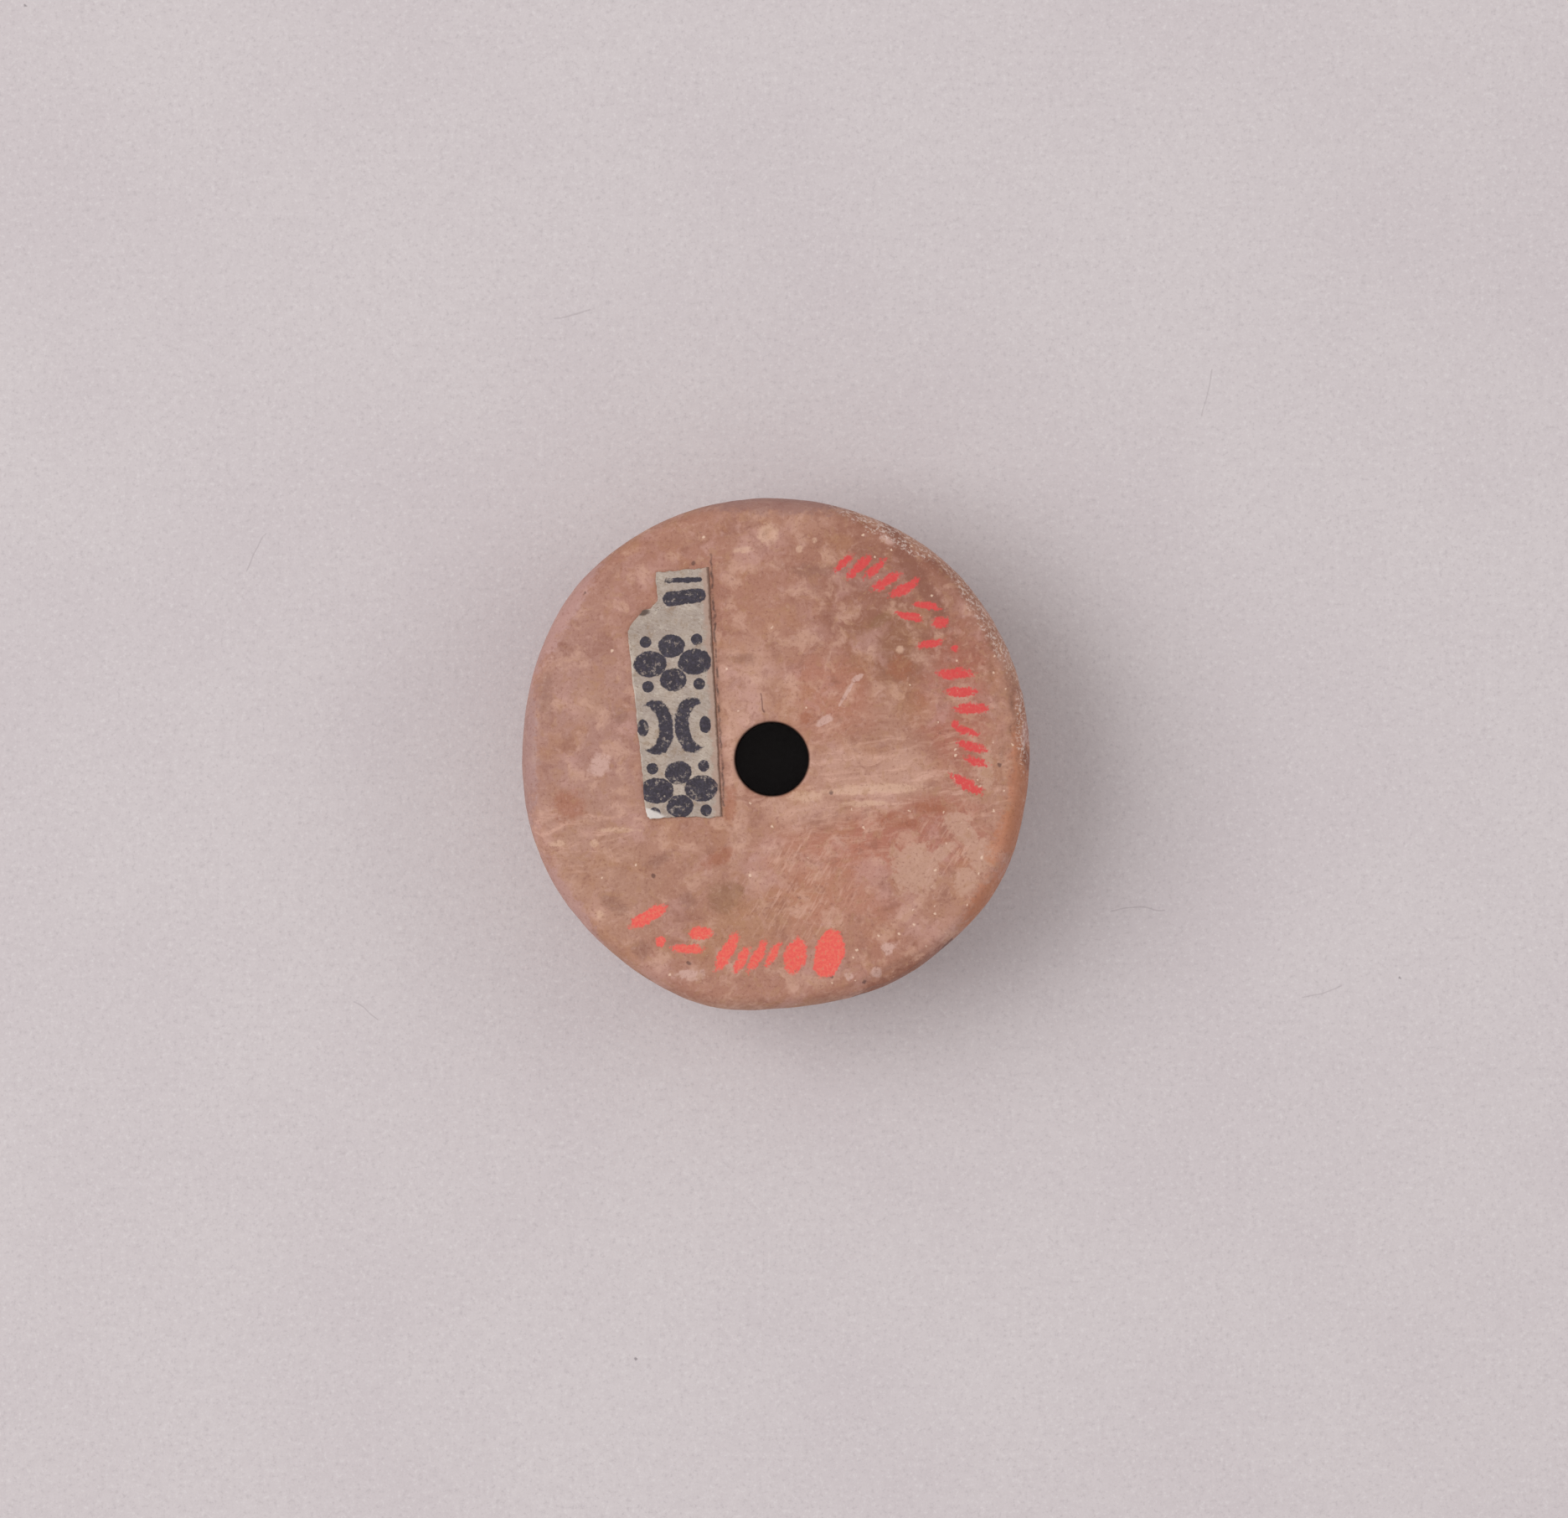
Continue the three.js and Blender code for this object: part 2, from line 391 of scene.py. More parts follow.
FACE_SPOTS = (
    ((195, 153, 132), 0.4, 0.72, (
        (8.3, -6.3, 3, 2.7, 38), (9.9, -5.5, 2.2, 0.7, 30), (11, -3.9, 2.6, 1.6, -50),
        (12.2, -5.6, 2.2, 1.5, -60), (11.3, -7.1, 1.8, 1.3, -30), (12.5, -0.6, 1.1, 1.9, 8),
    )),
    ((142, 100, 68), 0.9, 0.6, (
        (-2.7, -8.1, 2, 1.5, 25), (-2, -7.7, 0.9, 0.6, 0), (6.3, 8.1, 1.5, 0.5, 30),
    )),
    ((158, 92, 62), 0.9, 0.6, (
        (-3.1, -5.75, 2, 0.8, 35), (-2.45, -2.7, 0.6, 2.4, 4), (7.5, 5.2, 1.6, 1.2, 0),
        (2, 2.4, 0.7, 0.6, 0), (-11.9, -2.7, 2, 1.4, 0), (9.8, -2.8, 2.2, 0.9, -5),
        (7.3, -3.6, 2.6, 0.7, 6),
    )),
    ((138, 94, 78), 1, 0.5, (
        (-13.3, 3.7, 1, 2.2, 0), (-8.9, 2.5, 1.1, 0.7, 0), (-6.6, -5.9, 1.3, 0.8, 20),
        (-9.2, -8.5, 1.5, 0.9, -30), (-5, -8.3, 1.1, 0.8, 0), (-7.6, -11.2, 1.2, 0.9, 0),
        (2.2, 11, 2.4, 0.8, -15), (-1.7, 5.85, 1.9, 0.5, 12),
    )),
    ((216, 176, 150), 0.7, 0.62, (
        (7.5, 6.4, 0.4, 0.4, 0), (-12.5, -4.95, 0.9, 0.35, -5), (-10.4, -4.95, 0.5, 0.35, 10),
        (-9, -4.15, 3.2, 0.22, 10), (-10, -9.1, 0.5, 0.4, 0), (-1.6, 12.2, 0.8, 0.5, 10),
        (1.6, 12.3, 0.4, 0.35, 0), (2.5, 12.8, 0.35, 0.3, 0), (4.6, -1.9, 5.2, 0.2, 9),
        (5.4, -2.6, 4.2, 0.2, 6), (1.94, -2.2, 1.5, 0.8, -10), (6.5, -1.7, 3.4, 0.7, 8),
        (-0.17, 13.16, 1.3, 1.1, 0),
    )),
    ((210, 172, 160), 0.6, 0.7, (
        (-4.8, -12.6, 1.9, 0.5, 14), (6.8, 12.8, 1.3, 0.5, -22), (4.35, 3.8, 0.28, 1.4, -22),
        (5, 4.75, 0.26, 1.1, -52), (3.1, 2.25, 0.9, 0.5, 30), (6.8, -11.1, 0.7, 0.8, 20),
        (6.1, -12.5, 0.7, 0.5, 30), (4.5, -12.7, 0.6, 0.5, 0), (-10.1, -0.4, 1.1, 1.4, -20),
    )),
)
RIM_TONES = (
    ((164, 132, 130), 0.7, 0.55, ((-14.3, 0.4, 1.2, 9, 0),)),
    ((148, 110, 104), 0.9, 0.65, ((0.5, 15, 12, 1.1, 0),)),
    ((182, 112, 76), 0.7, 0.6, (
        (14.6, -3.4, 1.8, 9, 0), (14, -4.2, 1.3, 5, -20), (12.6, -8.6, 1.6, 5.6, -36),
    )),
    # A pale lump at the right, and a painted highlight: a thin pale line where the upper right edge
    # is lit
    ((194, 148, 124), 0.7, 0.55, ((14.3, 5.4, 1, 2.6, 20), (7.7, 13, 0.7, 8, 60))),
    ((186, 146, 142), 0.6, 0.55, (
        (-11.2, -9.5, 0.8, 11, 40), (14.9, 1.6, 0.7, 1.6, 0), (-12.2, 8.6, 1.4, 10, -34),
    )),
    ((134, 82, 64), 0.6, 0.75, (
        (7.4, -13.3, 10.5, 2, 27), (14.9, 0, 0.6, 1.2, 0), (8.4, 10.9, 8, 1, -52),
    )),
)

# Where the rim is crumbled, with pale crumbs that are partly the ivory's own colour and partly
# painted highlights, as ellipses
CRUMBLED_GLINTING_EDGE = ((6.6, 13.4, 1.1, 8, 64), (12.3, 8.5, 1.1, 8, 34), (14.7, 2.6, 1, 5, 8))

# Brush strokes of each mark: place along and across its row, turn, half length, half width
BRUSH_MARKS = {
    "bar": ((0, 0, 66, 0.9, 0.3),),
    "broken": ((0.3, 0.62, 64, 0.32, 0.3), (-0.3, -0.52, 64, 0.42, 0.28)),
    "pair": ((-0.52, 0.1, 68, 0.85, 0.28), (0.52, -0.15, 68, 0.65, 0.31)),
    "rake": ((-0.86, 0.2, 64, 0.6, 0.22), (0, -0.05, 64, 0.8, 0.24), (0.86, -0.2, 64, 0.55, 0.22)),
    "dashes": ((-0.2, 0.6, 28, 0.5, 0.26), (0.1, -0.5, 28, 0.4, 0.3)),
    "dot": ((0, 0, 0, 0.02, 0.26),),
    "dab": ((0, -0.1, 66, 0.7, 0.46),),
    "blot": ((-0.1, 0, 62, 0.62, 0.74),),
}

# Rows of brush marks: degrees round the hole, distance from it, kind
CORAL_ROW = (
    (-128.2, 11.7, "bar"), (-121.4, 12.5, "dot"), (-112.8, 11.5, "dashes"), (-103.2, 11.6, "bar"),
    (-94.2, 11.6, "rake"), (-83.2, 11.7, "dab"), (-73.2, 11.85, "blot"),
)
RED_ROW = (
    (65.6, 12.4, "rake"), (54.6, 12.5, "pair"), (45.6, 12.1, "dashes"), (37.6, 12, "broken"),
    (31.4, 12.5, "dot"), (25, 11.8, "bar"), (16.8, 11.9, "pair"), (10.6, 10.9, "dot"),
    (3.6, 11.7, "rake"), (-7.4, 11.5, "bar"),
)
CORAL_SIZE = 1.04
RED_SIZE = 1.06
RED_THIN = 0.74  # share of a mark's width

# Distances between which paint sets in, and how dry it is where its tone changes
PAINT_EDGE = (0.06, -0.05)
DRIED = (0.35, 0.7)


def brush_row(finish, places, row, size, thin):
    """Distance from the nearest brush stroke in a row of marks."""
    distances = []
    for degrees, distance, kind in row:
        turn = math.radians(degrees)
        outward = (math.cos(turn), math.sin(turn))
        along_row = (-outward[1], outward[0])
        for along, across, lean, half_length, half_width in BRUSH_MARKS[kind]:
            x = distance * outward[0] + size * (along * along_row[0] + across * outward[0])
            y = distance * outward[1] + size * (along * along_row[1] + across * outward[1])
            width = 2 * half_width * size * thin
            reach = finish.reach(
                places, x, y, 2 * half_length * size + width, width * 1.1, degrees + 90 + lean,
                BRUSH_RATIOS, BRUSH_TURN,
            )
            distances.append(finish.times(finish.minus(reach, 1), width / 2))
    return finish.nearest(distances)


# Cloudy blotches: waves for each millimetre, shift, start, end, strength, colour
BLOTCH_DETAIL = (3, 0.6)
BROAD_BLOTCHES = (
    (0.36, 0, 0.5, 0.68, 0.5, (196, 150, 140)),
    (0.42, 19, 0.5, 0.68, 0.42, (174, 122, 86)),
    (0.75, 7, 0.5, 0.7, 0.55, (208, 164, 142)),
    (0.9, 43, 0.52, 0.72, 0.5, (142, 90, 72)),
)
FINE_BLOTCHES = (
    (1.7, 57, 0.5, 0.74, 0.5, (174, 128, 94)),
    (2.3, 71, 0.52, 0.78, 0.32, (206, 164, 152)),
    (3.1, 29, 0.54, 0.76, 0.28, (140, 92, 76)),
)

# Noises of the ivory: waves for each millimetre, detail, roughness
BASE_NOISE = (0.2, 2)
BROAD_NOISE = (0.45, 3, 0.6)
SMALL_NOISE = (1.7, 4, 0.75)
STREAK_NOISE = (1.0, 3, 0.6)
SCRATCH_NOISE = (1.0, 2, 0.6)
GRIT_NOISE = (5.0, 3, 0.7)
DRY_NOISE = (5.5, 2, 0.65)

# How noise is pulled out: turn in degrees and stretch, and the squeeze of the turning marks
STREAK_PULL = (8, (2.4, 0.4, 1))
SCRATCH_PULL = (60, (1.8, 0.26, 1))
TURNING_SQUEEZE = (0.3, 0.3, 3.6)

# Where streaks, scratches and painted sparkles are, as ellipses; the sparkles are bright flecks
# that stand in for highlights
STREAKED = ((5.5, -1.6, 16, 6.5, 8), (-11.5, -4.5, 9, 3, 10))
SCRATCHED = ((1.8, -7.7, 7, 6, 0), (9.9, -5.6, 5, 4.4, 0))
PAINTED_GLINT_AREAS = ((12.4, -1.4, 7, 17, 0), (8.6, 11.6, 3, 11, 53), (7.4, -10.6, 8, 4, 38))

# Bands below the face: the drops at which each starts and ends
FACE_EDGE = (0.5, 1.3)
SIDE_START = (0.8, 2.2)
RIM_BAND = (3.4, 1.2)
CRACKED_BAND = (2.4, 1.2)
GLUED_BAND = (0.8, 0.3)
OFF_FACE = 5  # takes a mask of the face to nothing


def paint_rows(ivory, settings, below_face):
    """Lays the two rows of brush marks on. Gives back where the paint is."""
    waved = ivory.warped(ivory.places, 1.7, 0.36)
    dry = ivory.cloud(ivory.places, *DRY_NOISE)
    coral = brush_row(ivory, waved, CORAL_ROW, CORAL_SIZE, 1)
    red = brush_row(ivory, waved, RED_ROW, RED_SIZE, RED_THIN)
    edge = ivory.plus(ivory.centred(dry, 0.34), below_face)
    coral_mask = ivory.spread(ivory.plus(coral, edge), *PAINT_EDGE)
    red_mask = ivory.spread(ivory.plus(red, edge), *PAINT_EDGE)
    worn = ivory.spread(dry, 0.72, 0.56, 0.5, 1)
    dried = ivory.spread(dry, *DRIED)
    coral_tone = ivory.mix(dried, linear(settings.coral_paint), tone(240, 110, 88))
    dried = ivory.spread(dry, *DRIED)
    red_tone = ivory.mix(dried, linear(settings.red_paint), tone(220, 74, 70))
    for mask, strength, paint in ((coral_mask, 0.96, coral_tone), (red_mask, 0.95, red_tone)):
        ivory.lay(ivory.times(mask, ivory.times(worn, strength)), paint)
    return ivory.math("MAXIMUM", coral_mask, red_mask)


def ivory_finish(settings, height):
    """Aged, handled ivory with stains, worn streaks, flecks and painted marks."""
    ivory = Finish("aged_ivory")
    places = ivory.places
    level = ivory.height(places)
    below_face = ivory.under(level, height, FACE_EDGE, 0, OFF_FACE)
    side = ivory.under(level, height, SIDE_START)
    broad_edge = ivory.centred(ivory.cloud(places, *BROAD_NOISE), 1.6)
    small_edge = ivory.centred(ivory.cloud(places, *SMALL_NOISE), 2.4)
    on_face = ivory.plus(small_edge, below_face)

    base = ivory.spread(ivory.cloud(places, *BASE_NOISE), 0.38, 0.66)
    ivory.colour = ivory.mix(base, linear(settings.ivory), linear(settings.ivory_dark))
    ivory.stain(ivory.plus(broad_edge, below_face), FACE_TONES)
    swirled = ivory.warped(ivory.warped(places, 0.8, 1.2), 2.6, 0.3)
    ivory.mottle(swirled, BROAD_BLOTCHES)

    bent = ivory.warped(places, 0.4, 1.2)
    streaks = ivory.cloud(ivory.local(bent, 0, 0, *STREAK_PULL), *STREAK_NOISE)
    streaked = ivory.patches(places, broad_edge, 1.2, 0.65, STREAKED)
    shown = ivory.spread(streaks, 0.48, 0.7)
    shown = ivory.times(shown, ivory.plus(streaked, 0.1))
    ivory.lay(shown, linear(settings.ivory_pale))
    scratches = ivory.cloud(ivory.local(places, 0, 0, *SCRATCH_PULL), *SCRATCH_NOISE)
    scratched = ivory.patches(places, on_face, 1, 0.6, SCRATCHED)
    shown = ivory.times(ivory.spread(scratches, 0.5, 0.7), scratched)
    ivory.lay(shown, linear(settings.ivory_pale))

    ivory.stain(on_face, FACE_SPOTS)
    ivory.mottle(swirled, FINE_BLOTCHES)
    near_rim = ivory.plus(level, ivory.times(broad_edge, 0.9))
    near_rim = ivory.under(near_rim, height, RIM_BAND)
    # Tones along the rim, among them a painted highlight on the upper right edge
    ivory.stain(small_edge, RIM_TONES, near_rim)

    turning = ivory.cloud(ivory.vector("MULTIPLY", places, TURNING_SQUEEZE), *STREAK_NOISE)
    turned_side = ivory.times(ivory.spread(turning, 0.48, 0.66, 0, 0.4), side)
    ivory.lay(turned_side, tone(146, 96, 78))
    # Darker towards the foot, over the dome's lowest 3 mm
    ivory.tint(level, 3, 0.2, 0.4, (124, 84, 70))

    grit = ivory.cloud(places, *GRIT_NOISE)
    ivory.tint(grit, 0.46, 0.32, 0.4, (132, 80, 64))
    ivory.tint(grit, 0.58, 0.74, 0.26, (218, 178, 160))
    dark_dots = fleck_mask(ivory, ivory.vector("ADD", places, (31, 17, 5)), 0.5, 0.09, 0.4)
    ivory.lay(ivory.times(dark_dots, 0.7), tone(84, 50, 42))
    # Painted highlights: bright flecks stand in for sparkles of light, and the surface is made
    # glossier where they are
    glint_areas = ivory.patches(places, small_edge, 0.8, 0.5, PAINTED_GLINT_AREAS)
    painted_glints = fleck_mask(ivory, places, 1.5, 0.15, ivory.plus(glint_areas, 0.1))
    ivory.lay(ivory.times(painted_glints, 0.75), tone(236, 204, 180))
    # Pale crumbs along the rim: partly crumbled ivory, partly painted highlights where the crumbs
    # would catch the light
    crumbled_and_glinting = ivory.patches(places, small_edge, 0.5, 0.6, CRUMBLED_GLINTING_EDGE)
    crumbs = ivory.times(ivory.spread(grit, 0.5, 0.6), near_rim)
    ivory.lay(ivory.times(crumbled_and_glinting, crumbs), tone(228, 208, 198))

    cracks = hairline_mask(ivory, places)
    cracks = ivory.times(cracks, ivory.under(level, height, CRACKED_BAND))
    ivory.lay(ivory.times(cracks, 0.7), tone(88, 48, 38))
    # Painted shade darkening the spindle hole, and dark dirt in the glue beside the paper
    ivory.lay(hole_shade_and_glue_dirt(ivory, places, height), tone(54, 33, 28))
    paint = paint_rows(ivory, settings, below_face)

    roughness = ivory.spread(grit, 0.3, 0.7, 0.66, 0.48)
    roughness = ivory.minus(roughness, ivory.times(painted_glints, 0.3))
    roughness = ivory.minus(roughness, ivory.times(paint, 0.08))
    relief = ivory.plus(ivory.times(streaks, 0.4), ivory.times(grit, 0.4))
    relief = ivory.plus(relief, ivory.times(turning, side))
    return ivory.finished(relief, 0.12, 0.5, roughness, IVORY_IOR)


def fleck_mask(finish, places, scale, size, share):
    """Small scattered dots, only a share of them kept."""
    node = finish.add("ShaderNodeTexVoronoi", feature="F1")
    finish.put(node.inputs["Vector"], finish.warped(places, 4, 0.25))
    finish.put(node.inputs["Scale"], scale)
    near = finish.spread(node.outputs["Distance"], size, size * 0.45)
    pick = finish.add("ShaderNodeSeparateColor", {0: node.outputs["Color"]})
    kept = finish.math("LESS_THAN", pick.outputs[0], share)
    return finish.times(near, kept)


# Fine cracks: x, y, turn, half length, half width
HAIRLINES = (
    (6.9, -13.25, 24, 1.9, 0.03), (8.3, -12.75, 38, 1.1, 0.03), (5.2, -13.9, 15, 1.3, 0.025),
    (9.9, -11.3, 45, 1, 0.025), (-0.5, 3.3, 100, 0.5, 0.015),
)


def hairline_mask(finish, places):
    """Fine cracks, most of them along the worn bevel."""
    bent = finish.warped(places, 0.9, 0.6)
    distances = [finish.stroke(bent, *hairline) for hairline in HAIRLINES]
    return finish.spread(finish.nearest(distances), 0.05, -0.01)


# Painted shade in the hole, the radii between which it fades out; and dirt along a line beside the
# paper
HOLE_WALL_SHADE = (2.28, 2.14)
GLUE_LINE = (-3.18, 4.6, 93.1, 7.3, 0.015)


def hole_shade_and_glue_dirt(finish, places, height):
    """Painted shade that darkens the hole's wall, and dark dirt in the glue along the paper's right
    edge.
    """
    radius = finish.vector("LENGTH", finish.flat(places))
    hole_shade = finish.spread(radius, *HOLE_WALL_SHADE)
    beside = finish.stroke(finish.warped(places, 1.4, 0.3), *GLUE_LINE)
    crumbs = finish.spread(finish.cloud(places, 1.9, 3, 0.75), 0.36, 0.62, 0.15, 1)
    edge = finish.times(finish.spread(beside, 0.1, 0), crumbs)
    above = finish.under(finish.height(places), height, GLUED_BAND, 0, 0.75)
    return finish.math("MAXIMUM", finish.times(hole_shade, 0.92), finish.times(edge, above))


# Printed ornaments on the strip, seen from its lower right corner: x, y, kind
PRINTED_ORNAMENTS = ((-2.4, 1.75, "blossom"), (-2.5, 5.45, "crescents"), (-2.4, 9.15, "blossom"))

# Printed bars: x, y, turn, half length, half width
PRINTED_BARS = ((-1.5, 12.95, 4, 0.85, 0.42), (-1.5, 13.95, 0, 0.95, 0.14))

# Round shapes in a quarter of an ornament: x, y, half width, half height
PETALS = ((1.3, 0, 0.98, 0.76), (0, 0.98, 0.78, 0.68), (1.5, 1.3, 0.34, 0.34))
CRESCENT_OUTSIDE = (1.05, 0, 1.02, 1.62)
CRESCENT_INSIDE = (1.75, 0, 0.88, 1.3)
BEAD = (1.82, 0, 0.34, 0.5)


def printed_marks(finish, spots):
    """Distance from the printed marks: blossoms of four petals, a pair of crescents and bars."""

    def round_shape(x, y, half_width, half_height):
        """Distance from an ellipse's centre, 1 on its edge."""
        stretch = (half_width, half_height, FLATTEN)
        return finish.vector("LENGTH", finish.local(quarter, x, y, 0, stretch))

    distances = [finish.stroke(spots, *bar) for bar in PRINTED_BARS]
    for x, y, kind in PRINTED_ORNAMENTS:
        quarter = finish.vector("ABSOLUTE", finish.local(spots, x, y, 0))
        if kind == "blossom":
            shape = finish.nearest([round_shape(*petal) for petal in PETALS])
        else:
            outside, inside = round_shape(*CRESCENT_OUTSIDE), round_shape(*CRESCENT_INSIDE)
            crescent = finish.math("MAXIMUM", outside, finish.minus(2, inside))
            shape = finish.nearest([crescent, round_shape(*BEAD)])
        distances.append(finish.times(finish.minus(shape, 1), 0.7))
    return finish.nearest(distances)


# Noises of the paper: waves for each millimetre, detail, roughness
STAIN_NOISE = (0.55, 3, 0.6)
FIBRE_NOISE = (5, 3, 0.7)
SPECK_NOISE = (6.5, 3, 0.7)
SOIL_NOISE = (1.3, 4, 0.7)
RAGGED_NOISE = (1.7, 3, 0.65)
PRINT_NOISE = (3.2, 4, 0.7)
RUB_NOISE = (3.0, 4, 0.8)
FIBRE_PULL = (70, (0.35, 1.6, 1))

# Lines along the strip, seen from its lower right corner: x, y, turn, half length, half width
GLUED_MARGIN = (0.05, 7.3, 90, 7.6, 0.42)
CRACKED_EDGE = (-0.02, 7.3, 90, 7.6, 0.02)
RUBBED_EDGE = (-4.72, 5.2, 91.5, 5.4, 0.05)

# Spots at the strip's ends, as ellipses
CURLED_CORNER = (-4.1, 0.25, 1.9, 0.8, -20)
DARK_TEAR = (-4.05, 12.2, 0.9, 0.5, 10)


def paper_finish(settings):
    """Old paper, stained and rubbed, with dark printed marks."""
    paper = Finish("aged_paper")
    places = paper.places
    spots = paper.local(
        places, settings.corner_x / MM, settings.corner_y / MM, math.degrees(settings.lean)
    )
    stain = paper.cloud(places, *STAIN_NOISE)
    fibre = paper.cloud(paper.local(places, 0, 0, *FIBRE_PULL), *FIBRE_NOISE)
    speck = paper.cloud(places, *SPECK_NOISE)
    base = paper.spread(stain, 0.4, 0.66)
    paper.colour = paper.mix(base, linear(settings.paper), tone(184, 168, 154))
    paper.tint(stain, 0.48, 0.3, 0.6, (160, 144, 134))
    soil = paper.cloud(paper.warped(places, 1.2, 0.6), *SOIL_NOISE)
    paper.tint(soil, 0.52, 0.7, 0.6, (150, 124, 100))
    paper.tint(soil, 0.46, 0.3, 0.6, (202, 190, 176))
    paper.tint(fibre, 0.52, 0.34, 0.5, (140, 120, 100))
    paper.tint(speck, 0.58, 0.7, 0.5, (212, 200, 184))
    paper.tint(speck, 0.42, 0.28, 0.6, (112, 88, 70))

    ragged = paper.centred(paper.cloud(places, *RAGGED_NOISE), 0.9)
    margin = paper.plus(paper.stroke(spots, *GLUED_MARGIN), ragged)
    paper.tint(margin, 0.16, -0.12, 0.7, (174, 142, 126))
    crack = paper.stroke(spots, *CRACKED_EDGE)
    cracked = paper.spread(paper.plus(crack, paper.times(ragged, 0.3)), 0.1, 0)
    paper.lay(paper.times(cracked, 0.7), tone(96, 60, 44))
    rubbed_edge = paper.plus(paper.stroke(spots, *RUBBED_EDGE), ragged)
    paper.tint(rubbed_edge, 0.16, -0.05, 0.6, (214, 200, 186))

    wobble = paper.centred(paper.cloud(places, *PRINT_NOISE), 0.26)
    marks = paper.plus(printed_marks(paper, spots), wobble)
    printed = paper.spread(marks, 0.03, -0.03)
    rubbed = paper.spread(paper.cloud(places, *RUB_NOISE), 0.66, 0.54, 0.3, 0.96)
    ink = paper.mix(paper.spread(speck, 0.4, 0.7), linear(settings.ink), tone(56, 50, 68))
    paper.lay(paper.times(printed, rubbed), ink)

    curl = paper.patches(spots, ragged, 0.5, 0.9, (CURLED_CORNER,))
    paper.lay(curl, tone(222, 214, 208))
    dark_tear = paper.patches(spots, ragged, 0.5, 0.85, (DARK_TEAR,))
    paper.lay(dark_tear, tone(72, 50, 40))

    relief = paper.plus(paper.times(fibre, 0.5), paper.times(speck, 0.5))
    roughness = paper.spread(stain, 0.3, 0.7, 0.5, 0.75)
    return paper.finished(relief, 0.05, 0.5, roughness, PAPER_IOR)


# Hairs and fibres in the floor's paper: x, y, turn, half length, half width
FLOOR_FIBRES = (
    (33, -13.8, 16, 1.2, 0.01), (22, -9, 8, 1.6, 0.01), (-31, 12.5, 60, 1.2, 0.01),
    (-24.5, -15, -35, 1, 0.01), (26, 22, 80, 1.3, 0.01), (-12, 26.5, 12, 1.2, 0.01),
)

# Noises of the floor: waves for each millimetre, detail, roughness
FLOOR_NOISE = (0.05, 3, 0.6)
TOOTH_NOISE = (1.2, 3, 0.7)
GRAIN_NOISE = (3.2, 2, 0.8)

# Painted shade on the floor under the spindle hole: radii between which it fades out, strength,
# colour
FLOOR_SHADE_UNDER_HOLE = (4, 2.5, 0.6, (44, 38, 36))
FLOOR_ROUGHNESS = 0.8


def floor_finish(settings):
    """Smooth pale paper with a faint mottle, a few specks and fibres, and painted shade under the
    hole.
    """
    floor = Finish("pale_floor")
    places = floor.places
    cloud = floor.cloud(places, *FLOOR_NOISE)
    tooth = floor.cloud(places, *TOOTH_NOISE)
    base = floor.spread(cloud, 0.35, 0.7)
    floor.colour = floor.mix(base, linear(settings.floor), tone(206, 197, 199))
    floor.tint(tooth, 0.6, 0.35, 0.25, (196, 187, 189))
    grain = floor.cloud(places, *GRAIN_NOISE)
    floor.tint(grain, 0.54, 0.7, 0.5, (222, 216, 216))
    floor.tint(grain, 0.46, 0.3, 0.5, (186, 178, 180))
    fine_specks = fleck_mask(floor, places, 0.24, 0.03, 0.3)
    floor.lay(floor.times(fine_specks, 0.6), tone(104, 94, 100))
    bent = floor.warped(places, 0.25, 1.6)
    distance = floor.nearest([floor.stroke(bent, *fibre) for fibre in FLOOR_FIBRES])
    fibres = floor.spread(distance, 0.06, 0)
    floor.lay(floor.times(fibres, 0.26), tone(130, 118, 122))
    # Painted shade on the floor under the spindle hole
    radius = floor.vector("LENGTH", floor.flat(places))
    floor.tint(radius, *FLOOR_SHADE_UNDER_HOLE)
    return floor.finished(tooth, 0.15, 0.35, FLOOR_ROUGHNESS, FLOOR_IOR)


def shaved_depth(angles):
    """Depth of the shaved flats at angles round the rim, in degrees."""
    depth = np.zeros_like(angles)
    for centre, reach, deepest in SHAVED_FLATS:
        away = np.abs((angles - centre + 180) % 360 - 180)
        depth += np.where(away < reach, deepest * (1 + np.cos(np.pi * away / reach)) / 2, 0)
    return depth


def bezier(start, first, second, end, steps):
    """Points of a cubic curve."""
    t = np.linspace(0, 1, steps + 1)[:, None]
    start, first, second, end = map(np.array, (start, first, second, end))
    near = (1 - t) ** 3 * start + 3 * (1 - t) ** 2 * t * first
    return near + 3 * (1 - t) * t**2 * second + t**3 * end


def arc(centre, width, height, start, end, steps):
    """Points of an elliptic arc between two angles in degrees."""
    t = np.radians(np.linspace(start, end, steps + 1))
    return np.stack([centre[0] + width * np.cos(t), centre[1] + height * np.sin(t)], 1)


def line(start, end, steps):
    """Points of a straight line."""
    return np.linspace(np.array(start, float), np.array(end, float), steps + 1)


def body_section(size):
    """The closed section as radius and height: foot, dome, rim, face and hole."""
    diameters = (size.rim_diameter, size.foot_diameter, size.hole_diameter)
    rim, foot, hole = (diameter / MM / 2 for diameter in diameters)
    top, lip = size.height / MM, size.hole_lip / MM
    width, drop = size.rim_round_width / MM, size.rim_round_drop / MM
    widest, mouth, reach = top - drop, hole + lip, rim - foot
    pieces = (
        line((mouth, 0), (foot, 0), 9),
        bezier((foot, 0), (foot + reach * 0.5, 0.5), (rim, widest * 0.5), (rim, widest), 52),
        arc((rim - width, widest), width, drop, 0, 90, 20),
        line((rim - width, top), (mouth, top), 92),
        arc((mouth, top - lip), lip, lip, 90, 180, 4),
        line((hole, top - lip), (hole, lip), 12),
        arc((mouth, lip), lip, lip, 180, 270, 4),
    )
    return np.concatenate([piece[:-1] for piece in pieces])


def clouds(points, scale, seed):
    """Smooth noise, about -1 to 1, at points in millimetres."""
    shift = Vector((seed * 7.3, seed * 3.1, seed * 1.7))
    return np.array([noise.fractal(Vector(p) * scale + shift, 0.9, 2.1, 3) for p in points])


